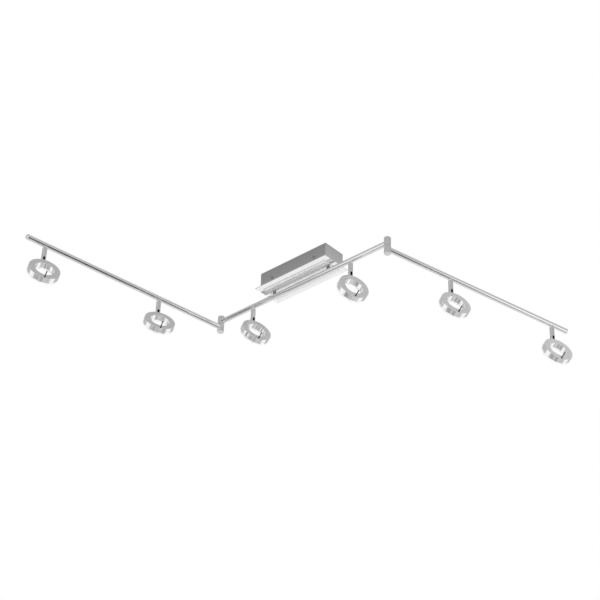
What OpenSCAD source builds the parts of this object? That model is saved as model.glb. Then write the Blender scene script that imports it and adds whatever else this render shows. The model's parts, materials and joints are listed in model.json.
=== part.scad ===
// Ceiling spot bar: a canopy carries a middle rail, an end rail folds at each end of it, and
// every rail carries two ring-shaped spots that swivel and tilt.
// The origin is the centre of the ceiling face. +X runs along the middle rail and the fixture hangs towards -Z.

/* [Canopy] */
// Length of the canopy shell
shell_l = 195; // [190:1:220]
// Width of the canopy shell
shell_w = 59.5; // [59:0.5:70]
// Height of the canopy shell
shell_h = 40.5; // [39:0.5:42]
// Thickness of the shell's sheet metal
sheet_t = 1.2; // [0.8:0.1:1.5]
// Length of the polished cover plate
plate_l = 210; // [206:1:240]
// Width of the polished cover plate
plate_w = 77.5; // [72:0.5:90]
// Thickness of the cover plate
plate_t = 1.5; // [1:0.1:2]
// Distance from the plate's edge to the raised trim panel
trim_inset = 12.5; // [8:0.5:16]
// Thickness of the raised trim panel
trim_t = 1.2; // [0.8:0.1:1.5]

/* [Ceiling bracket] */
// Distance between the two ceiling screws
ceiling_spacing = 100; // [80:5:110]
// Diameter of the ceiling screw holes
ceiling_hole_d = 5.2; // [4.2:0.1:6]
// Distance from the centre to the side screws
side_screw_x = 63; // [60:0.5:66]
// Distance from the ceiling down to the side screws
side_screw_drop = 24.3; // [18:0.1:28]
// Bore of the cable grommet
cable_bore_d = 10; // [8:0.5:11]

/* [Rails] */
// Outer diameter of the rail tubes
rail_d = 12; // [11.5:0.1:12]
// Wall thickness of the rail tubes
rail_wall = 1.2; // [1:0.1:1.5]
// Distance from the ceiling down to the middle rail's axis
rail_drop = 53.5; // [52:0.5:60]
// Distance from the canopy's centre to each swivel axis
joint_x = 249; // [245:1:300]
// Length of an end rail from its swivel axis to the tip of its cap
arm_l = 531; // [515:1:600]
// Height between the middle rail's axis and the end rails' axes
arm_drop = 15.5; // [15.5:0.1:16.5]
// Direction of the left end rail, from +X
left_arm_angle = -97.6; // [-180:0.2:-60]
// Direction of the right end rail, from +X
right_arm_angle = 77.8; // [0:0.2:120]
// Distance from the centre to each post
post_x = 80.5; // [78:0.5:82]
// Diameter of the posts
post_d = 8; // [7:0.5:9]

/* [Swivel barrels] */
// Diameter of the swivel barrels
barrel_d = 15.5; // [15.5:0.5:18]
// Height of each half of a barrel
barrel_half_h = 21.3; // [19:0.1:24]
// Gap between the two halves, filled by the washer
barrel_gap = 0.5; // [0.4:0.1:0.8]

/* [Heads] */
// Distance from the centre to the middle rail's heads
middle_head_x = 145.4; // [135:0.2:150]
// Distance from the swivel axis to an end rail's inner head
inner_head_x = 178; // [170:1:200]
// Distance from the swivel axis to an end rail's outer head
outer_head_x = 483; // [460:1:495]
// Direction in which the heads shine, from +X
heading = 156; // [0:0.5:360]
// Distance from the rail's axis down to a tilt hinge
hinge_drop = 37; // [35:0.5:42]
// Diameter of the stems
stem_d = 11; // [10.5:0.1:12]
// Outer diameter of a ring
ring_d = 70; // [66:1:76]
// Diameter of the opening through a ring's housing
ring_hole_d = 43; // [40:1:46]
// Depth of a ring's metal housing
ring_depth = 12.5; // [12:0.5:16]
// Distance from the tilt hinge to the ring's rim
rim_gap = 11; // [10:0.5:16]
// Distance from the tilt hinge back to the ring's back face
back_offset = 6.6; // [5:0.1:7]
// How far the diffuser stands out of the housing
diffuser_proud = 5; // [3:0.5:6]
// Length of the aiming peg
peg_l = 15.5; // [12:0.5:18]

/* [Hidden] */
$fn = 72;
// downward tilt of each head's light, from the horizontal
head_tilt = [23.4, 28, 23.4, 16.1, 20.1, 19.9];
// swivel of each head away from the common heading
head_swivel = [1, -3.7, 4.2, 0.8, -0.6, -1];
HEADS = [1:6];

through = 200;                 // long enough to cut right through any part
touch = 0.02;                  // gap between pieces that are clamped together
running = 0.05;                // radial clearance of a turning fit

rail_r = rail_d / 2;
rail_bore_r = rail_r - rail_wall;
arm_z = -rail_drop - arm_drop;
split_z = -rail_drop - arm_drop / 2;
plate_z = -shell_h - plate_t;
trim_z = plate_z - trim_t;

bracket_t = 1.5;
bracket_l = 142;
bracket_w = shell_w - 2 * sheet_t - 0.3;
tab_w = 12;
tab_drop = side_screw_drop + 6;
window_x = 29;                 // centre of each window in the bracket
grommet_lip = 2.5;

m4_r = 1.9;
m4_hole_r = 1.95;
m4_free_r = 2.1;
m4_head_r = 3.5;
m4_head_t = 2;

stud_r = 2.45;
stud_hole_r = 2.6;
nut_t = 4;

barrel_r = barrel_d / 2;
barrel_edge = 1.2;
rail_start = 4.5;              // from the swivel axis to the end of each tube inside its barrel
pin_r = 3;
pin_bore_r = 1.9;
pin_head_r = 4.1;
pin_head_t = 1.5;
barrel_floor = 1.7;            // from the split plane to the floor under a pin's head
washer_t = 0.4;

cap_t = 3;
cap_edge = 2;

spigot_r = 2.5;
spigot_bore_r = 1.5;
spigot_end = 19;
collar_r = 4.8;
collar_end = 7.6;              // underside of a collar, from the rail's axis
stem_top = 8;
stem_r = stem_d / 2;
stem_below_hinge = 5.2;
slot_w = 4.8;
slot_above_hinge = 4.2;
tongue_t = 4;
tongue_r = 3.8;
screw_r = 1.5;
screw_head_r = 2.8;
screw_seat = stem_r - 1.2;

ring_r = ring_d / 2;
hole_r = ring_hole_d / 2;
ring_wall = 1.5;
ring_centre = rim_gap + ring_r;
board_t = 1.6;
chip_count = 12;
mid_r = (ring_r + hole_r) / 2;
peg_r = 1.2;
peg_place = mid_r + 1.2;

// ---- places

function head_arm(i) = i <= 2 ? -1 : i <= 4 ? 0 : 1;
function arm_angle(side) = side < 0 ? left_arm_angle : right_arm_angle;
function along(side, d) = [side * joint_x + d * cos(arm_angle(side)), d * sin(arm_angle(side)), arm_z];
function head_distance(i) = (i == 1 || i == 6) ? outer_head_x : inner_head_x;
function head_place(i) =
    head_arm(i) == 0 ? [(i == 3 ? -1 : 1) * middle_head_x, 0, -rail_drop]
                     : along(head_arm(i), head_distance(i));

// the children's +X follows the end rail, and their origin is on its axis at the swivel
module on_arm(side) {
    translate([side * joint_x, 0, arm_z]) rotate([0, 0, arm_angle(side)]) children();
}

// the children's +X points where the head shines when it isn't tilted, and their origin is on the rail's axis
module on_rail(i) {
    translate(head_place(i)) rotate([0, 0, heading + head_swivel[i - 1]]) children();
}

// the children's origin is on the tilt hinge, +X along the light, -Z towards the ring's centre
module on_hinge(i) {
    on_rail(i) translate([0, 0, -hinge_drop]) rotate([0, head_tilt[i - 1], 0]) children();
}

// the children's +Z follows the light, and their origin is the centre of the ring's back face
module on_ring(i) {
    on_hinge(i) translate([-back_offset, 0, -ring_centre]) rotate([0, 90, 0]) children();
}

// ---- shapes that repeat

module rounded_slab(size, r) {
    w = size[0];
    d = size[1];
    translate([-w / 2 + r, -d / 2, 0]) cube([w - 2 * r, d, size[2]]);
    translate([-w / 2, -d / 2 + r, 0]) cube([w, d - 2 * r, size[2]]);
    for (x = [-1, 1], y = [-1, 1])
        translate([x * (w / 2 - r), y * (d / 2 - r), 0]) cylinder(r = r, h = size[2]);
}

module at_posts() {
    for (side = [-1, 1]) translate([side * post_x, 0, 0]) children();
}

// the children's +Z points out of the canopy's side
module at_side_screws() {
    for (x = [-1, 1], y = [-1, 1])
        translate([x * side_screw_x, y * shell_w / 2, -side_screw_drop]) rotate([-y * 90, 0, 0]) children();
}

module rail_tube(from, to) {
    translate([from, 0, 0]) rotate([0, 90, 0]) difference() {
        cylinder(r = rail_r, h = to - from);
        translate([0, 0, -1]) cylinder(r = rail_bore_r, h = to - from + 2);
    }
}

module collar_hole(x) {
    translate([x, 0, -rail_r - 1]) cylinder(r = stud_hole_r, h = rail_r);
}

// a saddle under the rail with a hollow spigot for the stem, along a rail that follows +X
module collar() {
    difference() {
        translate([0, 0, -collar_end]) cylinder(r = collar_r, h = collar_end - 3);
        translate([-through / 2, 0, 0]) rotate([0, 90, 0]) cylinder(r = rail_r + touch, h = through);
        translate([0, 0, -collar_end - 1]) cylinder(r = spigot_bore_r, h = collar_end);
    }
    difference() {
        translate([0, 0, -spigot_end]) cylinder(r = spigot_r, h = spigot_end - 4);
        translate([0, 0, -spigot_end - 1]) cylinder(r = spigot_bore_r, h = spigot_end);
    }
}

// half of a swivel barrel above the split plane, with its rail leaving along +X
module barrel_half(hole_r) {
    difference() {
        rotate_extrude() polygon([
            [0, barrel_gap / 2], [barrel_r, barrel_gap / 2], [barrel_r, barrel_half_h - barrel_edge],
            [barrel_r - 0.35 * barrel_edge, barrel_half_h - 0.35 * barrel_edge],
            [barrel_r - barrel_edge, barrel_half_h], [0, barrel_half_h]
        ]);
        translate([-rail_start, 0, arm_drop / 2]) rotate([0, 90, 0])
            cylinder(r = rail_r + touch, h = barrel_d);
        translate([0, 0, barrel_floor]) cylinder(r = pin_head_r + 0.2, h = arm_drop / 2);
        translate([0, 0, -1]) cylinder(r = hole_r, h = barrel_floor + 2);
    }
}

module rail_cap() {
    translate([arm_l - cap_t, 0, 0]) rotate([0, 90, 0]) rotate_extrude() polygon(concat(
        [[0, -6], [rail_bore_r - touch, -6], [rail_bore_r - touch, 0], [rail_r, 0]],
        [for (a = [0:15:90]) [rail_r - cap_edge * (1 - cos(a)), cap_t - cap_edge * (1 - sin(a))]],
        [[0, cap_t]]
    ));
}

// ---- canopy

module ceiling_bracket() color("lightsteelblue") difference() {
    union() {
        translate([-bracket_l / 2, -bracket_w / 2, -bracket_t]) cube([bracket_l, bracket_w, bracket_t]);
        for (x = [-1, 1], y = [-1, 1])
            translate([x * side_screw_x - tab_w / 2, y * (bracket_w - bracket_t) / 2 - bracket_t / 2, -tab_drop])
                cube([tab_w, bracket_t, tab_drop]);
    }
    for (x = [-1, 1]) {
        translate([x * ceiling_spacing / 2, 0, -through / 2]) cylinder(d = ceiling_hole_d, h = through);
        translate([x * window_x - 7, -15, -through / 2]) cube([14, 30, through]);
    }
    translate([0, 0, -through / 2]) cylinder(r = cable_bore_d / 2 + 3, h = through);
    at_side_screws() translate([0, 0, -8]) cylinder(r = m4_hole_r, h = 16);
}

module cable_grommet() color("dimgray") difference() {
    union() {
        translate([0, 0, -bracket_t]) cylinder(r = cable_bore_d / 2 + 2.9, h = bracket_t);
        translate([0, 0, -bracket_t - grommet_lip]) cylinder(r = cable_bore_d / 2 + 5, h = grommet_lip);
    }
    translate([0, 0, -10]) cylinder(d = cable_bore_d, h = 20);
}

module canopy_shell() color("darkgray") difference() {
    translate([0, 0, -shell_h]) rounded_slab([shell_l, shell_w, shell_h], 1);
    translate([-shell_l / 2 + sheet_t, -shell_w / 2 + sheet_t, -shell_h + sheet_t])
        cube([shell_l - 2 * sheet_t, shell_w - 2 * sheet_t, shell_h]);
    at_side_screws() translate([0, 0, -3]) cylinder(r = m4_free_r, h = 6);
    at_posts() translate([0, 0, -shell_h - 1]) cylinder(r = stud_hole_r, h = sheet_t + 2);
}

module side_screws() color("gray") at_side_screws() difference() {
    union() {
        cylinder(r = m4_head_r, h = m4_head_t);
        translate([0, 0, -5]) cylinder(r = m4_r, h = 5);
    }
    translate([-0.5, -2.6, m4_head_t - 0.9]) cube([1, 5.2, 2]);
}

module cover_plate() color("whitesmoke") difference() {
    translate([0, 0, plate_z]) rounded_slab([plate_l, plate_w, plate_t], 1);
    at_posts() translate([0, 0, plate_z - 1]) cylinder(r = stud_hole_r, h = plate_t + 2);
}

module trim_panel() color("gainsboro") difference() {
    translate([0, 0, trim_z]) rounded_slab([plate_l - 2 * trim_inset, plate_w - 2 * trim_inset, trim_t], 0.6);
    at_posts() translate([0, 0, trim_z - 1]) cylinder(r = stud_hole_r, h = trim_t + 2);
}

module terminal_block() color("ivory") translate([-60, 0, -shell_h + sheet_t]) difference() {
    translate([-10, -13, 0]) cube([20, 26, 12]);
    for (y = [-8, 0, 8]) {
        translate([-11, y, 5]) rotate([0, 90, 0]) cylinder(r = 1.8, h = 22);
        for (x = [-5, 5]) translate([x, y, 4]) cylinder(r = 1.7, h = 9);
    }
}

module led_driver() color("white") translate([18, 0, -shell_h + sheet_t]) difference() {
    union() {
        translate([-44, -18, 0]) cube([88, 36, 20]);
        translate([-51, -10, 0]) cube([102, 20, 2.5]);
    }
    for (x = [-47.5, 47.5]) translate([x, 0, -1]) cylinder(r = 1.7, h = 5);
}

module posts() color("silver") at_posts() {
    difference() {
        translate([0, 0, -rail_drop + 1]) cylinder(d = post_d, h = rail_drop - 1 + trim_z);
        translate([-through / 2, 0, -rail_drop]) rotate([0, 90, 0]) cylinder(r = rail_r + touch, h = through);
    }
    translate([0, 0, -rail_drop + 4]) cylinder(r = stud_r, h = rail_drop - 4 - shell_h + 7);
}

module post_nuts() color("gray") at_posts() translate([0, 0, -shell_h + sheet_t]) difference() {
    cylinder(r = 4.6, h = nut_t, $fn = 6);
    translate([0, 0, -1]) cylinder(r = stud_r + touch, h = nut_t + 2);
}

// ---- middle rail

module middle_rail() color("silver") translate([0, 0, -rail_drop]) difference() {
    rail_tube(-joint_x + rail_start, joint_x - rail_start);
    for (side = [-1, 1]) {
        collar_hole(side * middle_head_x);
        translate([side * post_x, 0, 1]) cylinder(r = stud_hole_r, h = rail_r);
    }
}

module middle_rail_collars() color("silver")
    for (side = [-1, 1]) translate([side * middle_head_x, 0, -rail_drop]) collar();

module barrel_upper(side) color("darkgray")
    translate([side * joint_x, 0, split_z]) rotate([0, 0, side > 0 ? 180 : 0]) barrel_half(pin_r + touch);

module pivot_pins() color("gray") for (side = [-1, 1]) translate([side * joint_x, 0, split_z]) difference() {
    rotate_extrude() for (s = [-1, 1]) scale([1, s]) polygon([
        [0, 0], [pin_r, 0], [pin_r, barrel_floor + running], [pin_head_r, barrel_floor + running],
        [pin_head_r, barrel_floor + running + pin_head_t], [0, barrel_floor + running + pin_head_t]
    ]);
    translate([0, 0, -10]) cylinder(r = pin_bore_r, h = 20);
}

module barrel_washers() color("black") for (side = [-1, 1])
    translate([side * joint_x, 0, split_z - washer_t / 2]) difference() {
        cylinder(r = barrel_r - 0.5, h = washer_t);
        translate([0, 0, -1]) cylinder(r = pin_r + 0.1, h = 2);
    }

// ---- end rails

module end_rail(side) color("silver") on_arm(side) difference() {
    rail_tube(rail_start, arm_l - cap_t);
    collar_hole(inner_head_x);
    collar_hole(outer_head_x);
}

module end_rail_cap(side) color("silver") on_arm(side) rail_cap();

module end_rail_collars(side) color("silver") on_arm(side)
    for (x = [inner_head_x, outer_head_x]) translate([x, 0, 0]) collar();

module barrel_lower(side) color("darkgray")
    translate([side * joint_x, 0, split_z]) rotate([0, 0, arm_angle(side)]) mirror([0, 0, 1])
        barrel_half(pin_r + running);

// ---- heads

module stem(i) color("darkgray") on_rail(i) difference() {
    rotate_extrude() polygon([
        [0, -stem_top], [stem_r - 0.6, -stem_top], [stem_r, -stem_top - 0.6],
        [stem_r, -hinge_drop - stem_below_hinge + 0.6], [stem_r - 0.6, -hinge_drop - stem_below_hinge],
        [0, -hinge_drop - stem_below_hinge]
    ]);
    translate([0, 0, -spigot_end - 1]) cylinder(r = spigot_r + running, h = spigot_end);
    translate([0, 0, -hinge_drop]) {
        cylinder(r = spigot_bore_r, h = hinge_drop);
        translate([-stem_d, -slot_w / 2, -stem_below_hinge - 1])
            cube([2 * stem_d, slot_w, stem_below_hinge + 1 + slot_above_hinge]);
        rotate([90, 0, 0]) cylinder(r = screw_r + touch, h = through, center = true);
        translate([0, screw_seat, 0]) rotate([-90, 0, 0]) cylinder(r = screw_head_r + 0.2, h = 5);
    }
}

module tilt_screw(i) color("gray") on_rail(i) translate([0, 0, -hinge_drop]) difference() {
    union() {
        translate([0, -stem_r + 0.3, 0]) rotate([-90, 0, 0]) cylinder(r = screw_r, h = stem_r - 0.3 + screw_seat);
        translate([0, screw_seat, 0]) rotate([-90, 0, 0]) cylinder(r = screw_head_r, h = 1);
    }
    translate([0, screw_seat + 0.4, 0]) rotate([-90, 0, 0]) cylinder(r = 1.3, h = 2, $fn = 6);
}

module ring_housing(i) color("lightgray") {
    difference() {
        union() {
            on_ring(i) rotate_extrude() polygon([
                [hole_r, 0.4], [hole_r + 0.4, 0], [ring_r - 0.4, 0], [ring_r, 0.4],
                [ring_r, ring_depth], [ring_r - ring_wall, ring_depth], [ring_r - ring_wall, ring_wall],
                [hole_r + ring_wall, ring_wall], [hole_r + ring_wall, ring_depth], [hole_r, ring_depth]
            ]);
            on_hinge(i) {
                rotate([90, 0, 0]) cylinder(r = tongue_r, h = tongue_t, center = true);
                translate([-tongue_r, -tongue_t / 2, -rim_gap - 1]) cube([2 * tongue_r, tongue_t, rim_gap + 1]);
            }
        }
        on_hinge(i) rotate([90, 0, 0]) cylinder(r = screw_r + running, h = 3 * tongue_t, center = true);
        on_ring(i) translate([peg_place, 0, -1]) cylinder(r = peg_r + touch, h = 4);
    }
}

module led_board(i) color("honeydew") on_ring(i) translate([0, 0, ring_wall + touch]) {
    difference() {
        cylinder(r = ring_r - ring_wall - 0.3, h = board_t);
        translate([0, 0, -1]) cylinder(r = hole_r + ring_wall + 0.3, h = board_t + 2);
    }
    for (k = [0:chip_count - 1]) rotate([0, 0, (k + 0.5) * 360 / chip_count])
        translate([mid_r - 1.5, -1.5, board_t - 0.2]) cube([3, 3, 1]);
}

module diffuser(i) color("white") on_ring(i) rotate_extrude() polygon([
    [hole_r + ring_wall + 0.2, ring_depth - 3], [hole_r + ring_wall + 2, ring_depth - 3],
    [hole_r + ring_wall + 2, ring_depth + diffuser_proud - 2],
    [ring_r - ring_wall - 2, ring_depth + diffuser_proud - 2],
    [ring_r - ring_wall - 2, ring_depth - 3], [ring_r - ring_wall - 0.2, ring_depth - 3],
    [ring_r - ring_wall - 0.2, ring_depth], [ring_r - 0.4, ring_depth],
    [ring_r - 0.4, ring_depth + diffuser_proud - 1.2], [ring_r - 1.6, ring_depth + diffuser_proud],
    [hole_r + 1.6, ring_depth + diffuser_proud], [hole_r + 0.4, ring_depth + diffuser_proud - 1.2],
    [hole_r + 0.4, ring_depth], [hole_r + ring_wall + 0.2, ring_depth]
]);

module aiming_peg(i) color("dimgray") on_ring(i) translate([peg_place, 0, 0]) rotate_extrude() polygon([
    [0, ring_wall - 0.1], [peg_r, ring_wall - 0.1], [peg_r, -touch], [2, -touch], [2, -1], [peg_r, -1.2],
    [peg_r, -peg_l + 0.8], [0.7 * peg_r, -peg_l + 0.2], [0, -peg_l]
]);

// ---- the assembly

ceiling_bracket();
cable_grommet();
canopy_shell();
side_screws();
cover_plate();
trim_panel();
terminal_block();
led_driver();
posts();
post_nuts();
middle_rail();
middle_rail_collars();
barrel_upper(-1);  // left_barrel_upper
barrel_upper(1);  // right_barrel_upper
pivot_pins();
barrel_washers();
end_rail(-1);  // left_rail
end_rail_cap(-1);  // left_rail_cap
end_rail_collars(-1);  // left_rail_collars
barrel_lower(-1);  // left_barrel_lower
end_rail(1);  // right_rail
end_rail_cap(1);  // right_rail_cap
end_rail_collars(1);  // right_rail_collars
barrel_lower(1);  // right_barrel_lower
for (i = HEADS) {
    stem(i);
    tilt_screw(i);
    ring_housing(i);
    led_board(i);
    diffuser(i);
    aiming_peg(i);
}
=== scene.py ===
"""Looks for the ceiling spot bar: a canopy with a middle rail, two folding end rails and six ring heads.

Every piece is built in its own frame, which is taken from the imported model's joints and boxes. The outlines
are in millimetres and the finished meshes in metres. The CAD nodes that are kept only get materials.
"""
import json
import math

import bmesh
import bpy
from mathutils import Matrix, Vector


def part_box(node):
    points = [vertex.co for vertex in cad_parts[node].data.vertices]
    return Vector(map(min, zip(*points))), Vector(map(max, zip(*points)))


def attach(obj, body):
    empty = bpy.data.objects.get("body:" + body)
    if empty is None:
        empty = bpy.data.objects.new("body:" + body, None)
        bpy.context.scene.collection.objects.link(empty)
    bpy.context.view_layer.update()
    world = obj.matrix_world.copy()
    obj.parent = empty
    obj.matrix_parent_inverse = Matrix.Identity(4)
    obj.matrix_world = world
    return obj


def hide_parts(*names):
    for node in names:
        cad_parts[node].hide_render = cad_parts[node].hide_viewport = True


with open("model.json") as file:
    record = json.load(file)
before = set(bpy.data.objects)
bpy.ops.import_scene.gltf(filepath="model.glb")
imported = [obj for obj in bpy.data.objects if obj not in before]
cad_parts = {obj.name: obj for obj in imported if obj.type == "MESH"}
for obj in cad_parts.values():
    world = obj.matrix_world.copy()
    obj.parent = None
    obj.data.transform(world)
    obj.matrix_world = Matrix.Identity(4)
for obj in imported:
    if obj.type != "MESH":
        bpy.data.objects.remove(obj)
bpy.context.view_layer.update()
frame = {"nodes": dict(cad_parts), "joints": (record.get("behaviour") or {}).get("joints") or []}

MM = 0.001
IDENTITY = Matrix.Identity(4)

# camera: where the picture was taken from, in degrees and metres
CAMERA_AZIMUTH = 42.645
CAMERA_ELEVATION = -33.445
CAMERA_ROLL = 1.894
CAMERA_PLACE = (1.9518, -2.1204, -2.0)
CAMERA_LENS = 93.06
SENSOR = 36.0

FLOOR_DEPTH = 4.0
FLOOR_SIZE = 120.0
TINY = 1e-7

HEADS = range(1, 7)
HEAD_RAIL = {1: "left", 2: "left", 3: "middle", 4: "middle", 5: "right", 6: "right"}


# ---- places and sizes, read from the frame

joints = {j["name"]: j for j in frame["joints"]}


def measure(node, matrix=IDENTITY):
    """Lowest and highest corner of a CAD node as seen in the frame `matrix`, in metres."""
    inverse = matrix.inverted()
    points = [inverse @ v.co for v in frame["nodes"][node].data.vertices]
    low = Vector([min(p[k] for p in points) for k in range(3)])
    high = Vector([max(p[k] for p in points) for k in range(3)])
    return low, high


def middle(node):
    low, high = measure(node)
    return (low + high) / 2


def level_frame(origin, along):
    """A frame at `origin` whose +X points along the level direction `along` and whose +Z points up."""
    x = Vector((along[0], along[1], 0)).normalized()
    y = Vector((-x.y, x.x, 0))
    matrix = Matrix((x, y, (0, 0, 1))).transposed().to_4x4()
    matrix.translation = origin
    return matrix


def rail_frame(side):
    """The frame on a rail's axis: the middle rail's is at its middle, an end rail's is at its swivel."""
    if side == "middle":
        return Matrix.Translation(middle("middle_rail"))
    origin = Vector(joints[side + "_arm_swing"]["pos_m"])
    origin.z = middle(side + "_rail").z
    return level_frame(origin, middle(side + "_rail") - origin)


RAIL_LEVEL = {side: rail_frame(side).translation.z for side in ("left", "middle", "right")}


def head_frames(i):
    """Frames of head i: the stem's on the rail's axis, the tilt hinge's and the ring's on its back face."""
    tilt = joints[f"head_{i}_tilt"]
    axis = Vector(tilt["axis"])
    lit = Vector((axis.y, -axis.x, 0))
    hinge_point = Vector(tilt["pos_m"])
    stem = level_frame(Vector((hinge_point.x, hinge_point.y, RAIL_LEVEL[HEAD_RAIL[i]])), lit)
    down = -math.radians(sum(tilt["range_deg"]) / 2)
    hinge = level_frame(hinge_point, lit) @ Matrix.Rotation(down, 4, "Y")
    low, high = measure(f"led_board_{i}", hinge)
    back = measure(f"ring_housing_{i}", hinge)[0].x
    centre = Matrix.Translation((min(back, low.x), 0, (low.z + high.z) / 2))
    ring = hinge @ centre @ Matrix.Rotation(math.pi / 2, 4, "Y")
    return stem, hinge, ring


FRAMES = {i: head_frames(i) for i in HEADS}

low_side, high_side = measure("side_screws")
low_post, high_post = measure("posts")
low_rail, high_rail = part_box("middle_rail")
low_barrel, high_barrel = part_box("left_barrel_upper")

# sizes in millimetres: what isn't measured in the frame is as in the CAD model
SIDE_SCREW_HEAD_R = 3.5
SIDE_HOLE_R = 2.1
SIDE_SCREW_REACH = (high_side.x - low_side.x) / 2 / MM - SIDE_SCREW_HEAD_R
SIDE_SCREWS = (-SIDE_SCREW_REACH, SIDE_SCREW_REACH)
POST_R = 4.0
STUD_R = 2.45
POST_HOLE_R = 2.6
POST_REACH = (high_post.x - low_post.x) / 2 / MM - POST_R
POSTS = (-POST_REACH, POST_REACH)

RAIL_R = (high_rail.z - low_rail.z) / 2 / MM
RAIL_WALL = 1.2
RAIL_SEAT = RAIL_R + 0.02
SADDLE_R = 4.8
SADDLE_DROP = 7.6
SPIGOT_R = 2.5
SPIGOT_DROP = 19.0
BARREL_R = (high_barrel.y - low_barrel.y) / 2 / MM
SPLIT = joints["left_arm_swing"]["pos_m"][2] / MM
BARREL_HALF = high_barrel.z / MM - SPLIT
PIN_HOLE_R = 3.05

STEM_LOW, STEM_HIGH = measure("stem_1", FRAMES[1][0])
STEM_R = STEM_HIGH.x / MM
HINGE_DROP = (FRAMES[1][0].translation.z - FRAMES[1][1].translation.z) / MM
SLOT_TOP = 4.2
SLOT_WIDTH = 4.8
WIRE_HOLE_R = 1.5
SCREW_SEAT = STEM_R - 1.2
SCREW_R = 1.5
SCREW_HEAD_R = 2.8

RING_OUTER_R = measure("ring_housing_1", FRAMES[1][2])[1].x / MM - 0.03
RING_INNER_R = 21.5
RING_DEPTH = 12.5
RING_WALL = 1.5
TONGUE_R = 3.8
TONGUE_HALF = 2.0
DIFFUSER_LOW, DIFFUSER_HIGH = measure("diffuser_1", FRAMES[1][2])
PEG_LOW, PEG_HIGH = measure("aiming_peg_1", FRAMES[1][2])
PEG_R = 1.2


# ---- mesh tools

def arc_corner(before, corner, after, radius, steps):
    """Points of the arc that rounds one corner of an outline."""
    to_before = (before - corner).normalized()
    to_after = (after - corner).normalized()
    half = to_before.angle(to_after) / 2
    reach = radius / math.tan(half)
    centre = corner + (to_before + to_after).normalized() * (radius / math.sin(half))
    start = corner + to_before * reach - centre
    end = corner + to_after * reach - centre
    turn = math.atan2(start.x * end.y - start.y * end.x, start.dot(end))
    return [centre + Matrix.Rotation(turn * s / steps, 2) @ start for s in range(steps + 1)]


def rounded(corners, steps=5):
    """A closed outline from (x, y, radius) corners in millimetres; a corner with a radius becomes an arc."""
    points = [Vector(c[:2]) for c in corners]
    outline = []
    for k, (_, _, radius) in enumerate(corners):
        if radius:
            after = points[(k + 1) % len(points)]
            outline += arc_corner(points[k - 1], points[k], after, radius, steps)
        else:
            outline.append(points[k])
    return [p * MM for p in outline]


def lathe(outline, segments=96):
    """A solid of revolution round Z from a closed outline of (radius, height) points."""
    made = bmesh.new()
    rings = []
    for radius, height in outline:
        if radius < TINY:
            rings.append([made.verts.new((0, 0, height))])
            continue
        angles = [2 * math.pi * k / segments for k in range(segments)]
        round_points = [(radius * math.cos(a), radius * math.sin(a), height) for a in angles]
        rings.append([made.verts.new(p) for p in round_points])
    for a, b in zip(rings, rings[1:] + rings[:1]):
        for k in range(segments):
            n = (k + 1) % segments
            corners = list(dict.fromkeys([a[k % len(a)], a[n % len(a)], b[n % len(b)], b[k % len(b)]]))
            if len(corners) > 2:
                made.faces.new(corners)
    bmesh.ops.recalc_face_normals(made, faces=made.faces)
    return made


def loft(sections):
    """A closed solid through a stack of equal-length outlines of 3D points, with its two ends capped."""
    made = bmesh.new()
    rows = [[made.verts.new(p) for p in section] for section in sections]
    for a, b in zip(rows, rows[1:]):
        for k in range(len(a)):
            n = (k + 1) % len(a)
            made.faces.new([a[k], a[n], b[n], b[k]])
    made.faces.new(rows[0][::-1])
    made.faces.new(rows[-1])
    bmesh.ops.recalc_face_normals(made, faces=made.faces)
    return made


def rectangle(width, depth, corner, height, steps=6):
    """A rounded rectangle of 3D points at one height; every size is in millimetres."""
    x, y = width / 2, depth / 2
    flat = rounded([(x, -y, corner), (x, y, corner), (-x, y, corner), (-x, -y, corner)], steps)
    return [(p.x, p.y, height * MM) for p in flat]


def slab(width, depth, low, high, corner, edge, steps=4):
    """A plate between two heights with rounded corners and rounded edges, in millimetres."""
    sections = []
    for s in range(steps + 1):
        a = math.pi / 2 * s / steps
        inset = edge * (1 - math.sin(a))
        sections.append((inset, low + edge * (1 - math.cos(a))))
    for s in range(steps + 1):
        a = math.pi / 2 * s / steps
        inset = edge * (1 - math.cos(a))
        sections.append((inset, high - edge * (1 - math.sin(a))))
    return loft([
        rectangle(width - 2 * inset, depth - 2 * inset, corner - min(inset, corner * 0.9), height)
        for inset, height in sections
    ])


def block(size, centre, bevel):
    """A box with bevelled edges, in millimetres."""
    made = bmesh.new()
    bmesh.ops.create_cube(made, size=1)
    scale = Matrix.Diagonal((size[0] * MM, size[1] * MM, size[2] * MM, 1))
    bmesh.ops.transform(made, matrix=Matrix.Translation(Vector(centre) * MM) @ scale, verts=made.verts)
    bmesh.ops.bevel(made, geom=made.edges[:], offset=bevel * MM, segments=3, affect="EDGES", profile=0.5)
    return made


def prism(outline, low, high):
    """An outline of (x, y) points pulled up from one height to another."""
    return loft([[(x, y, low) for x, y in outline], [(x, y, high) for x, y in outline]])


def moved(made, matrix):
    bmesh.ops.transform(made, matrix=matrix, verts=made.verts)
    return made


def joined(*parts):
    """One bmesh that holds several."""
    whole = bmesh.new()
    for part in parts:
        mesh = bpy.data.meshes.new("part")
        part.to_mesh(mesh)
        part.free()
        whole.from_mesh(mesh)
        bpy.data.meshes.remove(mesh)
    return whole


def shift(x=0.0, y=0.0, z=0.0):
    return Matrix.Translation(Vector((x, y, z)) * MM)


def turn(degrees, axis):
    return Matrix.Rotation(math.radians(degrees), 4, axis)


def cylinder(radius, low, high, segments=48):
    """A plain round cutter between two heights, in millimetres."""
    return lathe([Vector(p) * MM for p in ((0, low), (radius, low), (radius, high), (0, high))], segments)


def as_object(made, name):
    mesh = bpy.data.meshes.new(name)
    made.to_mesh(mesh)
    made.free()
    obj = bpy.data.objects.new(name, mesh)
    bpy.context.scene.collection.objects.link(obj)
    return obj


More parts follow.
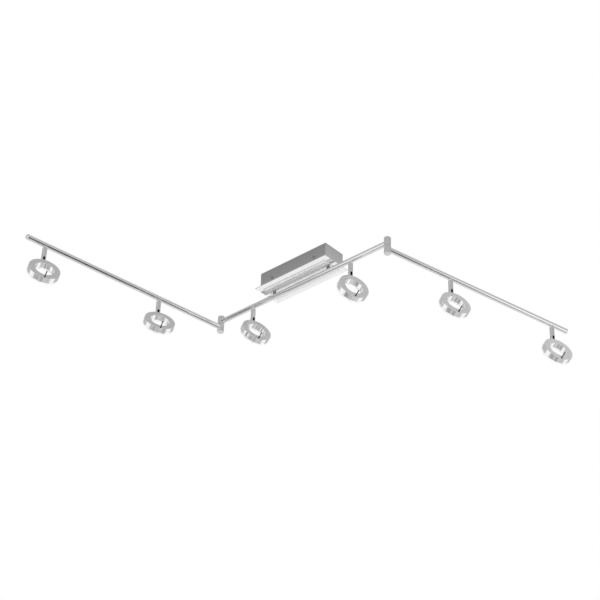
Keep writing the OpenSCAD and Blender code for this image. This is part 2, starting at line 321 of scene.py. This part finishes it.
def cut(made, *cutters):
    """`made` with the cutters' shapes taken away."""
    obj = as_object(made, "cut_body")
    tools = [as_object(c, "cutter") for c in cutters]
    for tool in tools:
        modifier = obj.modifiers.new("cut", "BOOLEAN")
        modifier.operation = "DIFFERENCE"
        modifier.solver = "EXACT"
        modifier.object = tool
    bpy.context.view_layer.update()
    result = bmesh.new()
    evaluated = obj.evaluated_get(bpy.context.evaluated_depsgraph_get())
    result.from_mesh(evaluated.to_mesh())
    evaluated.to_mesh_clear()
    for o in [obj, *tools]:
        mesh = o.data
        bpy.data.objects.remove(o)
        bpy.data.meshes.remove(mesh)
    bmesh.ops.remove_doubles(result, verts=result.verts, dist=TINY)
    return result


def mark(made, index, wanted):
    """Gives the faces that are `wanted` the material at `index`."""
    for face in made.faces:
        if wanted(face.calc_center_median() / MM, face.normal):
            face.material_index = index


def piece(name, made, matrix, materials, body, nodes, smooth=32):
    """Turns a bmesh into a finished piece: placed, shaded, on its body, standing for its nodes.

    The mesh is moved into the model's frame. Its point attribute "place" keeps each vertex's place in the
    piece's own frame for the textures.
    """
    obj = as_object(made, name)
    mesh = obj.data
    place = mesh.attributes.new("place", "FLOAT_VECTOR", "POINT")
    place.data.foreach_set("vector", [c for v in mesh.vertices for c in v.co])
    mesh.transform(matrix)
    mesh.shade_smooth()
    mesh.set_sharp_from_angle(angle=math.radians(smooth))
    normals = obj.modifiers.new("normals", "WEIGHTED_NORMAL")
    normals.keep_sharp = True
    for material in materials:
        mesh.materials.append(material)
    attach(obj, body)
    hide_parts(*nodes)


# ---- materials

def math_node(tree, operation, a, b=0.0):
    """The result of a sum whose two terms are numbers or other nodes' outputs."""
    node = tree.nodes.new("ShaderNodeMath")
    node.operation = operation
    for socket, value in zip(node.inputs, (a, b)):
        if isinstance(value, (int, float)):
            socket.default_value = value
        else:
            tree.links.new(value, socket)
    return node.outputs[0]


class Shader:
    """A node material with short helpers for the textures that the finishes share."""

    def __init__(self, name, colour, metallic, roughness, own_frame=True):
        self.material = bpy.data.materials.new(name)
        self.material.use_nodes = True
        self.nodes = self.material.node_tree.nodes
        self.links = self.material.node_tree.links
        self.surface = self.nodes["Principled BSDF"]
        self.surface.inputs["Base Color"].default_value = (*colour, 1)
        self.surface.inputs["Metallic"].default_value = metallic
        self.surface.inputs["Roughness"].default_value = roughness
        self.colour = colour
        if own_frame:
            attribute = self.nodes.new("ShaderNodeAttribute")
            attribute.attribute_name = "place"
            self.place = attribute.outputs["Vector"]
        else:
            self.place = self.nodes.new("ShaderNodeTexCoord").outputs["Object"]

    def set(self, **values):
        for name, value in values.items():
            self.surface.inputs[name.replace("_", " ")].default_value = value

    def math(self, operation, a, b=0.0):
        return math_node(self.material.node_tree, operation, a, b)

    def split(self):
        """The x, y and z of the place on the piece."""
        node = self.nodes.new("ShaderNodeSeparateXYZ")
        self.links.new(self.place, node.inputs[0])
        return node.outputs

    def scaled(self, scale):
        """The place on the piece, stretched along the axes."""
        node = self.nodes.new("ShaderNodeMapping")
        node.inputs["Scale"].default_value = scale
        self.links.new(self.place, node.inputs["Vector"])
        return node.outputs["Vector"]

    def turned(self, across, along):
        """Coordinates that don't change round the Z axis, as the marks of a lathe don't."""
        x, y, z = self.split()
        squares = [self.math("POWER", side, 2.0) for side in (x, y)]
        radius = self.math("SQRT", self.math("ADD", *squares))
        join = self.nodes.new("ShaderNodeCombineXYZ")
        self.links.new(self.math("MULTIPLY", radius, across), join.inputs[0])
        self.links.new(self.math("MULTIPLY", z, along), join.inputs[1])
        return join.outputs[0]

    def noise(self, vector, scale=1.0, detail=3.0, rough=0.55):
        node = self.nodes.new("ShaderNodeTexNoise")
        node.inputs["Scale"].default_value = scale
        node.inputs["Detail"].default_value = detail
        node.inputs["Roughness"].default_value = rough
        self.links.new(vector, node.inputs["Vector"])
        return node.outputs[0]

    def spread(self, value, low, high, start=0.3, end=0.7):
        """The value's range start..end mapped to low..high."""
        node = self.nodes.new("ShaderNodeMapRange")
        for name, number in (("From Min", start), ("From Max", end), ("To Min", low), ("To Max", high)):
            node.inputs[name].default_value = number
        self.links.new(value, node.inputs["Value"])
        return node.outputs["Result"]

    def tint(self, factor, other):
        """Base colour that goes from the material's own colour to `other` with the factor."""
        node = self.nodes.new("ShaderNodeMix")
        node.data_type = "RGBA"
        node.inputs["A"].default_value = (*self.colour, 1)
        node.inputs["B"].default_value = (*other, 1)
        self.links.new(factor, node.inputs["Factor"])
        self.links.new(node.outputs["Result"], self.surface.inputs["Base Color"])

    def rough(self, value):
        self.links.new(value, self.surface.inputs["Roughness"])

    def bump(self, height, strength, distance):
        node = self.nodes.new("ShaderNodeBump")
        node.inputs["Strength"].default_value = strength
        node.inputs["Distance"].default_value = distance
        self.links.new(height, node.inputs["Height"])
        self.links.new(node.outputs["Normal"], self.surface.inputs["Normal"])


def satin_turned(name, colour, roughness):
    """Satin nickel on a turned part: fine lathe marks round the axis and a faint mottle."""
    s = Shader(name, colour, 1.0, roughness)
    marks = s.noise(s.turned(9000, 9000), detail=2)
    mottle = s.noise(s.place, scale=160, detail=4)
    s.tint(s.spread(mottle, 0, 0.5), tuple(c * 0.9 for c in colour))
    cloudy = s.spread(mottle, roughness - 0.03, roughness + 0.03)
    s.rough(s.math("ADD", s.spread(marks, -0.05, 0.05), cloudy))
    s.bump(marks, 0.12, 0.00002)
    return s.material


def satin_brushed(name, colour, roughness, stretch):
    """Satin nickel on sheet metal: fine brushing, a faint mottle and painted shade that darkens it towards
    its upper edge.
    """
    s = Shader(name, colour, 1.0, roughness)
    brushing = s.noise(s.scaled(stretch), detail=4)
    mottle = s.noise(s.place, scale=60, detail=4)
    # painted shade: the colour darkens over the top 35 mm of the sheet, next to the ceiling
    upper = s.spread(s.split()[2], 0, 0.6, -0.035, 0.0)
    s.tint(s.math("ADD", s.spread(brushing, 0, 0.3), upper), tuple(c * 0.76 for c in colour))
    cloudy = s.spread(mottle, roughness - 0.03, roughness + 0.03)
    s.rough(s.math("ADD", s.spread(brushing, -0.06, 0.06), cloudy))
    s.bump(brushing, 0.15, 0.00003)
    return s.material


def chrome(name, colour, roughness, metallic=1.0):
    """Polished plate: a clean mirror with the faint waves of the metal under it and a trace of haze."""
    s = Shader(name, colour, metallic, roughness)
    haze = s.noise(s.place, scale=45, detail=5)
    waves = s.noise(s.place, scale=18, detail=1)
    s.tint(s.spread(haze, 0, 0.35), tuple(c * 0.93 for c in colour))
    s.rough(s.spread(haze, roughness * 0.6, roughness * 1.5))
    s.bump(waves, 0.04, 0.0004)
    return s.material


CHIPS = 12


def opal(name):
    """Opal acrylic, softly lit from behind: twelve chips show as a faint swell of light round the ring."""
    s = Shader(name, (0.93, 0.93, 0.92), 0.0, 0.32)
    s.set(IOR=1.49, Subsurface_Weight=0.25, Subsurface_Radius=(0.004, 0.004, 0.004))
    x, y, _ = s.split()
    swell = s.math("COSINE", s.math("MULTIPLY", s.math("ARCTAN2", y, x), CHIPS))
    haze = s.noise(s.place, scale=300, detail=3)
    s.rough(s.spread(haze, 0.26, 0.38))
    s.tint(s.spread(haze, 0, 0.4), (0.89, 0.89, 0.87))
    s.bump(haze, 0.05, 0.00003)
    s.set(Emission_Color=(1.0, 0.99, 0.97, 1))
    s.links.new(s.spread(swell, 0.16, 0.24, -1, 1), s.surface.inputs["Emission Strength"])
    return s.material


def plastic(name, colour, roughness, grain=900.0):
    """Moulded plastic or rubber with a fine spark-eroded grain."""
    s = Shader(name, colour, 0.0, roughness, own_frame=False)
    grain_noise = s.noise(s.place, scale=grain, detail=2)
    cloud = s.noise(s.place, scale=70, detail=3)
    s.tint(s.spread(cloud, 0, 0.5), tuple(c * 0.85 for c in colour))
    s.rough(s.spread(grain_noise, roughness - 0.08, roughness + 0.08))
    s.bump(grain_noise, 0.2, 0.00005)
    return s.material


def zinc(name):
    """Bright zinc plate on folded steel: a faint blue-yellow bloom with a fine rolled grain."""
    s = Shader(name, (0.66, 0.68, 0.70), 1.0, 0.32, own_frame=False)
    bloom = s.noise(s.place, scale=35, detail=5)
    rolled = s.noise(s.scaled((60, 2500, 2500)), detail=3)
    s.tint(s.spread(bloom, 0, 0.7), (0.70, 0.68, 0.58))
    s.rough(s.math("ADD", s.spread(rolled, -0.06, 0.06), s.spread(bloom, 0.28, 0.38)))
    s.bump(rolled, 0.1, 0.00002)
    return s.material


def steel(name, colour, roughness):
    """Machined steel: lathe marks round the axis and darker oxide in patches."""
    s = Shader(name, colour, 1.0, roughness)
    marks = s.noise(s.turned(5000, 5000), detail=2)
    oxide = s.noise(s.place, scale=400, detail=4)
    s.tint(s.spread(oxide, 0, 0.8), tuple(c * 0.7 for c in colour))
    s.rough(s.spread(marks, roughness - 0.08, roughness + 0.1))
    s.bump(marks, 0.15, 0.00003)
    return s.material


def circuit_board(name):
    """White solder mask over a copper weave, as on an LED board."""
    s = Shader(name, (0.84, 0.86, 0.80), 0.0, 0.4, own_frame=False)
    weave = s.noise(s.place, scale=1400, detail=2)
    tracks = s.noise(s.place, scale=220, detail=1)
    s.tint(s.spread(tracks, 0, 1, 0.5, 0.53), (0.78, 0.80, 0.72))
    s.rough(s.spread(weave, 0.34, 0.46))
    s.bump(weave, 0.1, 0.00004)
    return s.material


NICKEL = (0.86, 0.86, 0.86)
TURNED_NICKEL = satin_turned("satin_nickel_turned", NICKEL, 0.34)
BRUSHED_NICKEL = satin_brushed("satin_nickel_brushed", NICKEL, 0.36, (3000, 40, 3000))
# painted shade: a slightly darker copy of the turned nickel for the barrels' end faces
END_NICKEL_PAINTED_SHADE = satin_turned("satin_nickel_painted_shade_end", (0.84, 0.84, 0.84), 0.34)
# painted shade: a darker copy of the brushed nickel, brushed along its length, for the canopy's long sides
SIDE_NICKEL_PAINTED_SHADE = satin_brushed("satin_nickel_painted_shade_sides", (0.56, 0.56, 0.56), 0.36, (40, 3000, 3000))
CHROME = chrome("polished_chrome", (0.93, 0.93, 0.935), 0.05)
# painted reflection: the posts' chrome is made dark to stand in for the dark surroundings it reflects
CHROME_PAINTED_DARK_REFLECTION = chrome("chrome_painted_dark_reflection", (0.22, 0.22, 0.225), 0.06)
PLATE_METAL = chrome("polished_plate", (0.87, 0.87, 0.87), 0.1)
PANEL_METAL = chrome("polished_panel", (0.93, 0.93, 0.93), 0.2, 0.75)
# painted shade: near-black for the faces inside the stem's slot and for the tongue in it
SLOT_PAINTED_SHADE = steel("slot_painted_shade", (0.03, 0.03, 0.03), 0.5)
RING_METAL = chrome("ring_polished_wall", (0.97, 0.97, 0.97), 0.15)
OPAL = opal("opal_acrylic")
ZINC = zinc("zinc_steel")
SCREW = steel("screw_steel", (0.42, 0.42, 0.43), 0.18)
PLATED_SCREW = steel("plated_screw_steel", (0.8, 0.8, 0.8), 0.25)
DARK_STEEL = steel("dark_steel", (0.16, 0.16, 0.165), 0.35)
DRIVER = plastic("driver_plastic", (0.82, 0.82, 0.80), 0.5)
TERMINAL = plastic("terminal_plastic", (0.75, 0.72, 0.62), 0.45)
NYLON = plastic("washer_nylon", (0.03, 0.03, 0.03), 0.45)
RUBBER = plastic("rubber", (0.035, 0.035, 0.035), 0.7)
BOARD = circuit_board("led_board")


# ---- canopy

def canopy_pieces():
    low, high = measure("canopy_shell")
    length, width, height = (high - low) / MM
    sheet = 1.2
    edge = 1.3
    corner = 1.6
    steps = 5
    outer = [(0, 0)]
    for s in range(steps + 1):
        a = math.pi / 2 * s / steps
        outer.append((edge * (1 - math.cos(a)), -height + edge * (1 - math.sin(a))))
    inner = [(sheet, -height + sheet), (sheet, 0)]
    # the loft runs up the inside of the box, over its open rim and down its outside
    sections = [rectangle(length - 2 * i, width - 2 * i, corner / 2, z) for i, z in inner + outer[:1]]
    sections += [rectangle(length - 2 * i, width - 2 * i, max(corner - i, 0.35), z) for i, z in outer[1:]]
    level = middle("side_screws").z / MM
    screws = [(x, side) for side in (-1, 1) for x in SIDE_SCREWS]
    places = [(shift(x, side * width / 2, level), side) for x, side in screws]
    cutters = [moved(cylinder(SIDE_HOLE_R, -4, 4), place @ turn(90, "X")) for place, _ in places]
    cutters += post_cutters(-height - 5, -height + 5)
    shell = cut(loft(sections), *cutters)
    # the long sides take the darker copy of the nickel, which is painted shade
    mark(shell, 1, lambda spot, normal: abs(normal.y) > 0.7)
    metals = [BRUSHED_NICKEL, SIDE_NICKEL_PAINTED_SHADE]
    piece("canopy_shell_piece", shell, IDENTITY, metals, "canopy", ["canopy_shell"], 25)

    heads = [moved(screw_head(), place @ turn(-90 * side, "X")) for place, side in places]
    piece("side_screw_set", joined(*heads), IDENTITY, [SCREW], "canopy", ["side_screws"])


def post_cutters(low, high):
    """Cutters for the holes that the posts' studs pass through."""
    return [moved(cylinder(POST_HOLE_R, low, high), shift(x)) for x in POSTS]


def screw_head():
    """A pan-head screw along +Z with a cross recess; its head's seat is at height 0."""
    head, shank = SIDE_SCREW_HEAD_R, 1.9
    body = lathe(rounded([
        (0, -5, 0), (1.4, -5, 0), (shank, -4.2, 0), (shank, 0, 0),
        (head, 0, 0.15), (head, 1.2, 0.9), (2.2, 1.95, 1.2), (0, 2.0, 0),
    ]), 48)
    bars = [moved(block((4.0, 0.8, 1.6), (0, 0, 2.1), 0.1), turn(a, "Z")) for a in (45, 135)]
    return cut(body, *bars)


def plate_pieces():
    low, high = measure("cover_plate")
    size = (high - low) / MM
    bottom, top = low.z / MM, high.z / MM
    plate = cut(slab(size.x, size.y, bottom, top, 1.0, 0.35), *post_cutters(bottom - 5, top + 5))
    metals = [PLATE_METAL]
    piece("cover_plate_piece", plate, IDENTITY, metals, "canopy", ["cover_plate"], 25)

    low, high = measure("trim_panel")
    size = (high - low) / MM
    bottom, top = low.z / MM, high.z / MM
    bevel = 2.2
    sections = [(bevel, bottom), (bevel * 0.9, bottom + 0.04), (0.12, top - 0.5), (0, top - 0.35), (0, top)]
    panel = loft([
        rectangle(size.x - 2 * inset, size.y - 2 * inset, max(0.8 - inset * 0.2, 0.3), height)
        for inset, height in sections
    ])
    panel = cut(panel, *post_cutters(bottom - 5, top + 5))
    piece("trim_panel_piece", panel, IDENTITY, [PANEL_METAL], "canopy", ["trim_panel"], 12)


def post_pieces():
    level = RAIL_LEVEL["middle"] / MM
    top = measure("trim_panel")[0].z / MM
    shoulder = top - 0.02
    stud_top = high_post.z / MM
    outline = rounded([
        (0, level + 4, 0), (POST_R, level + 1, 0), (POST_R, shoulder, 0.3),
        (STUD_R, shoulder, 0), (STUD_R, stud_top - 0.5, 0), (2.0, stud_top, 0), (0, stud_top, 0),
    ])
    parts = []
    for x in POSTS:
        saddle = moved(cylinder(RAIL_R + 0.05, -20, 20, 96), shift(0, 0, level) @ turn(90, "Y"))
        parts.append(moved(cut(lathe(outline, 64), saddle), shift(x)))
    piece("post_set", joined(*parts), IDENTITY, [CHROME_PAINTED_DARK_REFLECTION], "canopy", ["posts"])


# ---- rails

def tube(start, end):
    """A round tube along +X with softened ends, in millimetres."""
    r = RAIL_R
    bore = r - RAIL_WALL
    outline = rounded([(bore, start, 0.2), (r, start, 0.3), (r, end, 0.3), (bore, end, 0.2)], 3)
    return moved(lathe(outline, 128), turn(90, "Y"))


def collar():
    """The saddle under a rail and the spigot that the stem turns on, in the rail's frame."""
    wire, r, foot, head = WIRE_HOLE_R, SADDLE_R, -SADDLE_DROP, -3
    saddle = lathe(rounded([(wire, foot, 0), (r, foot, 0.35), (r, head, 0), (wire, head, 0)]), 64)
    saddle = cut(saddle, moved(cylinder(RAIL_SEAT, -20, 20, 128), turn(90, "Y")))
    r, foot, head = SPIGOT_R, -SPIGOT_DROP, 0.1 - SADDLE_DROP
    spigot = lathe(rounded([(wire, foot, 0), (r, foot, 0.3), (r, head, 0), (wire, head, 0)]), 48)
    return joined(saddle, spigot)


def rail_pieces(side, body):
    matrix = rail_frame(side)
    rail = side + "_rail"
    low, high = measure(rail, matrix)
    pipe = tube(low.x / MM, high.x / MM)
    piece(rail + "_tube", pipe, matrix, [CHROME], body, [rail])
    heads = [i for i in HEADS if HEAD_RAIL[i] == side]
    places = [(matrix.inverted() @ FRAMES[i][0].translation).x / MM for i in heads]
    collars = joined(*[moved(collar(), shift(x)) for x in places])
    piece(rail + "_collar_set", collars, matrix, [CHROME], body, [rail + "_collars"])
    if side == "middle":
        return
    tip = measure(rail + "_cap", matrix)[1].x / MM
    rim = tip - 3
    r = RAIL_R
    plug, plug_end = r - RAIL_WALL - 0.05, tip - 9
    cap = moved(lathe(rounded([
        (0, plug_end, 0), (plug, plug_end, 0.5), (plug, rim, 0),
        (r, rim + 0.02, 0.15), (r, tip, 2.2), (0, tip, 0),
    ], 8), 128), turn(90, "Y"))
    piece(rail + "_end", cap, matrix, [CHROME], body, [rail + "_cap"])


def barrel(level):
    """One half of a swivel barrel above the split plane, with its rail's hole along +X at `level`.

    The pin's hole opens into a hollow with room for the pin's head.
    """
    r, gap, chamfer, top = BARREL_R, 0.25, 0.35, BARREL_HALF
    pin, hollow, seat, roof = PIN_HOLE_R, 4.3, 1.7, level + 5
    body = lathe(rounded([
        (pin, gap, 0), (r - chamfer, gap, 0), (r, gap + chamfer, 0.2), (r, top, 1.5), (0, top, 0),
        (0, roof, 0), (hollow, roof, 0.3), (hollow, seat, 0.2), (pin, seat, 0),
    ]), 96)
    hole = moved(cylinder(RAIL_SEAT, -4.5, 20, 96), shift(0, 0, level) @ turn(90, "Y"))
    half = cut(body, hole)
    # the end face takes the darker copy of the nickel, which is painted shade
    mark(half, 1, lambda spot, normal: normal.z > 0.9 and spot.z > top - 0.4)
    return half


def barrel_pieces(side, body):
    place = Vector(joints[side + "_arm_swing"]["pos_m"])
    above = RAIL_LEVEL["middle"] / MM - SPLIT
    inward = level_frame(place, (-place.x, 0))
    outward = rail_frame(side)
    outward.translation = place
    halves = (
        ("upper", barrel(above), inward, "canopy"),
        ("lower", moved(barrel(above), turn(180, "X")), outward, body),
    )
    metals = [TURNED_NICKEL, END_NICKEL_PAINTED_SHADE]
    for half, made, matrix, base in halves:
        name, node = f"{side}_swivel_{half}", f"{side}_barrel_{half}"
        piece(name, made, matrix, metals, base, [node], 30)


# ---- heads

def stem_mesh():
    """The stem: bored for its spigot and the wires, and slotted at its lower end for the ring's tongue."""
    r = STEM_R
    top, bottom = STEM_HIGH.z / MM, STEM_LOW.z / MM
    slot_top = SLOT_TOP - HINGE_DROP
    body = lathe(rounded([(0, top, 0), (r, top, 0.7), (r, bottom, 1.0), (0, bottom, 0)]), 96)
    cutters = [
        cylinder(SPIGOT_R + 0.05, -20, 0, 48),
        cylinder(WIRE_HOLE_R, -HINGE_DROP, 0, 32),
        block((30, SLOT_WIDTH, 20), (0, 0, slot_top - 10), 0.01),
        moved(cylinder(SCREW_R + 0.02, -20, 20, 32), shift(0, 0, -HINGE_DROP) @ turn(90, "X")),
        moved(cylinder(SCREW_HEAD_R + 0.2, 0, 5, 32), shift(0, SCREW_SEAT, -HINGE_DROP) @ turn(-90, "X")),
    ]
    stem = cut(body, *cutters)

    def in_slot(spot, _):
        return abs(spot.y) < SLOT_WIDTH / 2 + 0.05 and spot.z < slot_top + 0.1 and abs(spot.x) < r - 0.1

    # the faces inside the slot get the painted shade
    mark(stem, 1, in_slot)
    return stem


def screw_mesh():
    """The socket screw across the stem's slot, with its head sunk in the stem's side."""
    shank, head = SCREW_R, SCREW_HEAD_R
    tip, seat, top = 0.3 - STEM_R, SCREW_SEAT, SCREW_SEAT + 1
    screw = lathe(rounded([
        (0, tip, 0), (shank, tip, 0.3), (shank, seat, 0), (head, seat, 0.1), (head, top, 0.3), (0, top, 0),
    ]), 48)
    socket = cylinder(1.3, seat + 0.4, seat + 3, 6)
    return moved(cut(screw, socket), shift(0, 0, -HINGE_DROP) @ turn(-90, "X"))


def housing_mesh(ring_in_hinge):
    """The U-section ring and its tongue, in the ring's frame, with the back face and the tongue marked."""
    inner, outer, depth, wall = RING_INNER_R, RING_OUTER_R, RING_DEPTH, RING_WALL
    ring = lathe(rounded([
        (inner, 0, 0.4), (outer, 0, 0.45), (outer, depth, 0.25),
        (outer - wall, depth, 0.1), (outer - wall, wall, 0.3),
        (inner + wall, wall, 0.3), (inner + wall, depth, 0.1), (inner, depth, 0.25),
    ], 4), 192)
    mark(ring, 1, lambda spot, normal: normal.z < -0.9 and spot.z < 0.5)
    reach = -ring_in_hinge.translation.z / MM - outer + 1.0
    w = TONGUE_R
    end = rounded([(-w, -reach, 0), (w, -reach, 0), (w, w, w - 0.01), (-w, w, w - 0.01)], 12)
    tongue = moved(prism(end, -TONGUE_HALF * MM, TONGUE_HALF * MM), turn(90, "X"))
    tongue = cut(tongue, moved(cylinder(SCREW_R + 0.05, -20, 20, 32), turn(90, "X")))
    # the tongue, down in the stem's slot, gets the slot's painted shade
    mark(tongue, 2, lambda spot, normal: True)
    return joined(ring, moved(tongue, ring_in_hinge.inverted()))


def diffuser_mesh():
    """The opal ring: two skirts that plug into the housing under a front with rounded edges."""
    inner, outer, rim = RING_INNER_R, RING_OUTER_R, RING_DEPTH + 0.02
    front, back = DIFFUSER_HIGH.z / MM, DIFFUSER_LOW.z / MM
    fit, thick = RING_WALL + 0.2, RING_WALL + 2
    return lathe(rounded([
        (inner + fit, back, 0.2), (inner + thick, back, 0.2), (inner + thick, front - 2, 0.5),
        (outer - thick, front - 2, 0.5), (outer - thick, back, 0.2), (outer - fit, back, 0.2),
        (outer - fit, rim, 0), (outer - 0.4, rim, 0.2), (outer - 0.4, front, 2.0),
        (inner + 0.4, front, 2.0), (inner + 0.4, rim, 0.2), (inner + fit, rim, 0),
    ], 5), 192)


def peg_mesh():
    """The aiming peg: a thin pin with a foot on the ring's back face and a rounded tip."""
    r, foot, root = PEG_R, 2.0, RING_WALL - 0.1
    tip = PEG_LOW.z / MM + 0.06
    body = lathe(rounded([
        (0, root, 0), (r, root, 0), (r, -0.02, 0), (foot, -0.02, 0), (foot, -1, 0.25), (r, -1.15, 0.1),
        (r, tip + 0.9, 0), (r, tip, 0.85), (0, tip, 0),
    ]), 32)
    return moved(body, shift((PEG_LOW.x + PEG_HIGH.x) / 2 / MM))


def head_pieces(i):
    stem, hinge, ring = FRAMES[i]
    stem_body, head_body = f"stem_{i}", f"head_{i}"
    metals = [TURNED_NICKEL, SLOT_PAINTED_SHADE]
    piece(f"stem_tube_{i}", stem_mesh(), stem, metals, stem_body, [f"stem_{i}"], 30)
    screw = screw_mesh()
    piece(f"hinge_screw_{i}", screw, stem, [PLATED_SCREW], stem_body, [f"tilt_screw_{i}"])
    housing = housing_mesh(hinge.inverted() @ ring)
    metals = [RING_METAL, TURNED_NICKEL, SLOT_PAINTED_SHADE]
    piece(f"ring_shell_{i}", housing, ring, metals, head_body, [f"ring_housing_{i}"], 28)
    diffuser = diffuser_mesh()
    piece(f"ring_diffuser_{i}", diffuser, ring, [OPAL], head_body, [f"diffuser_{i}"], 40)
    piece(f"peg_{i}", peg_mesh(), ring, [DARK_STEEL], head_body, [f"aiming_peg_{i}"])


# ---- the CAD nodes that stay

KEPT = {
    "ceiling_bracket": ZINC, "cable_grommet": RUBBER, "terminal_block": TERMINAL, "led_driver": DRIVER,
    "post_nuts": SCREW, "pivot_pins": SCREW, "barrel_washers": NYLON,
}
KEPT.update({f"led_board_{i}": BOARD for i in HEADS})


def kept_nodes():
    for name, material in KEPT.items():
        mesh = frame["nodes"][name].data
        mesh.materials.clear()
        mesh.materials.append(material)


# ---- studio

def camera():
    azimuth, elevation, roll = (math.radians(a) for a in (CAMERA_AZIMUTH, CAMERA_ELEVATION, CAMERA_ROLL))
    flat = math.cos(elevation)
    back = Vector((math.sin(azimuth) * flat, -math.cos(azimuth) * flat, math.sin(elevation)))
    right = Vector((math.cos(azimuth), math.sin(azimuth), 0))
    up = back.cross(right)
    rolled_right = math.cos(roll) * right + math.sin(roll) * up
    rolled_up = math.cos(roll) * up - math.sin(roll) * right
    data = bpy.data.cameras.new("camera")
    data.lens = CAMERA_LENS
    data.sensor_width = SENSOR
    data.clip_end = 100.0
    obj = bpy.data.objects.new("camera", data)
    matrix = Matrix((rolled_right, rolled_up, back)).transposed().to_4x4()
    matrix.translation = CAMERA_PLACE
    obj.matrix_world = matrix
    bpy.context.scene.collection.objects.link(obj)
    bpy.context.scene.camera = obj


def floor():
    made = bmesh.new()
    bmesh.ops.create_grid(made, x_segments=8, y_segments=8, size=FLOOR_SIZE / 2)
    obj = as_object(made, "floor")
    obj.location.z = -FLOOR_DEPTH
    s = Shader("floor_paint", (0.9, 0.9, 0.9), 0.0, 0.8)
    s.tint(s.spread(s.noise(s.place, scale=2), 0, 0.3), (0.86, 0.86, 0.86))
    s.set(Emission_Color=(1, 1, 1, 1), Emission_Strength=0.36)
    obj.data.materials.append(s.material)
    obj.visible_glossy = False


def studio_world():
    """Soft studio light: white all round below the horizon, grey above and underneath, with dark flags.

    The flags show in the polished rails and ring walls as dark lines and bands.
    """
    world = bpy.data.worlds.new("studio")
    bpy.context.scene.world = world
    world.use_nodes = True
    tree = world.node_tree
    tree.nodes.clear()
    direction = tree.nodes.new("ShaderNodeTexCoord").outputs["Generated"]

    def towards(vector):
        node = tree.nodes.new("ShaderNodeVectorMath")
        node.operation = "DOT_PRODUCT"
        tree.links.new(direction, node.inputs[0])
        node.inputs[1].default_value = Vector(vector).normalized()
        return node.outputs["Value"]

    def calc(operation, a, b=0.0):
        return math_node(tree, operation, a, b)

    def step(value, start, end):
        node = tree.nodes.new("ShaderNodeMapRange")
        node.interpolation_type = "SMOOTHSTEP"
        node.inputs["From Min"].default_value = start
        node.inputs["From Max"].default_value = end
        tree.links.new(value, node.inputs["Value"])
        return node.outputs["Result"]

    def blend(mask, level, other):
        """`level` where the mask is 0 and `other` where it is 1."""
        kept = calc("MULTIPLY", calc("SUBTRACT", 1.0, mask), level)
        return calc("ADD", kept, calc("MULTIPLY", mask, other))

    def aim(azimuth, elevation):
        a, e = math.radians(azimuth), math.radians(elevation)
        return math.cos(a) * math.cos(e), math.sin(a) * math.cos(e), math.sin(e)

    def spot(azimuth, elevation, radius, soft):
        """A round patch of the surroundings, 1 inside its radius and 0 past its soft edge, in degrees."""
        edge, inside = (math.cos(math.radians(r)) for r in (radius + soft, radius))
        return step(towards(aim(azimuth, elevation)), edge, inside)

    def strip(azimuth, width, low, high):
        """An upright strip of the surroundings between two elevations, in degrees."""
        side = calc("ABSOLUTE", towards(aim(azimuth + 90, 0)))
        edge = math.sin(math.radians(width))
        inside = step(side, edge * 1.3, edge * 0.7)
        near = step(towards(aim(azimuth, 0)), 0.0, 0.1)
        bottom, top = (math.sin(math.radians(e)) for e in (low, high))
        soft = 0.06
        above = step(height, bottom - soft, bottom + soft)
        tall = calc("MULTIPLY", above, step(height, top + soft, top - soft))
        return calc("MULTIPLY", calc("MULTIPLY", inside, near), tall)

    height = towards((0, 0, 1))
    underneath = calc("ADD", calc("MULTIPLY", towards(aim(90, 0)), 0.12), 0.58)
    white, above = 1.0, 0.51
    light = blend(step(height, -0.08, 0.16), white, above)
    light = blend(step(height, -0.58, -0.68), light, underneath)
    flags = (
        # soft patches at and above the horizon
        (spot(103, 0, 9, 6), 0.5),
        (spot(45, 54, 7, 7), 0.82),
        (spot(28, 32, 10, 8), 0.4),
        # black flags: the left one shows in the middle rail and the right ones in the end rails
        (strip(-130.5, 4.6, -27, 6), 0.01),
        (strip(15.5, 5.5, -34, -9), 0.01),
        (spot(20, -31, 6.8, 1.8), 0.01),
        (spot(31, -44, 5, 2), 0.02),
        # grey flags low down
        (spot(46, -56, 7, 4), 0.18),
        (spot(68, -55, 9, 6), 0.42),
        (spot(-157, -53, 9, 5), 0.42),
        (spot(-138, -35, 4, 2.5), 0.35),
        (spot(-145, -46, 5.5, 2.5), 0.26),
        (spot(-175, -78, 5, 4), 0.33),
        (spot(-125, -57, 4, 5), 0.4),
        # a grey strip beyond the fixture, which the rails' lower edges show
        (strip(137, 17, -26, 2), 0.6),
    )
    for mask, level in flags:
        light = blend(mask, light, level)

    camera_sees = tree.nodes.new("ShaderNodeLightPath").outputs["Is Camera Ray"]
    light = blend(camera_sees, light, white)
    background = tree.nodes.new("ShaderNodeBackground")
    background.inputs["Color"].default_value = (1, 1, 1, 1)
    tree.links.new(light, background.inputs["Strength"])
    output = tree.nodes.new("ShaderNodeOutputWorld")
    tree.links.new(background.outputs[0], output.inputs["Surface"])


camera()
canopy_pieces()
plate_pieces()
post_pieces()
for side, body in (("left", "left_arm"), ("middle", "canopy"), ("right", "right_arm")):
    rail_pieces(side, body)
for side in ("left", "right"):
    barrel_pieces(side, side + "_arm")
for i in HEADS:
    head_pieces(i)
kept_nodes()
floor()
studio_world()
bpy.context.scene.view_settings.view_transform = "Standard"
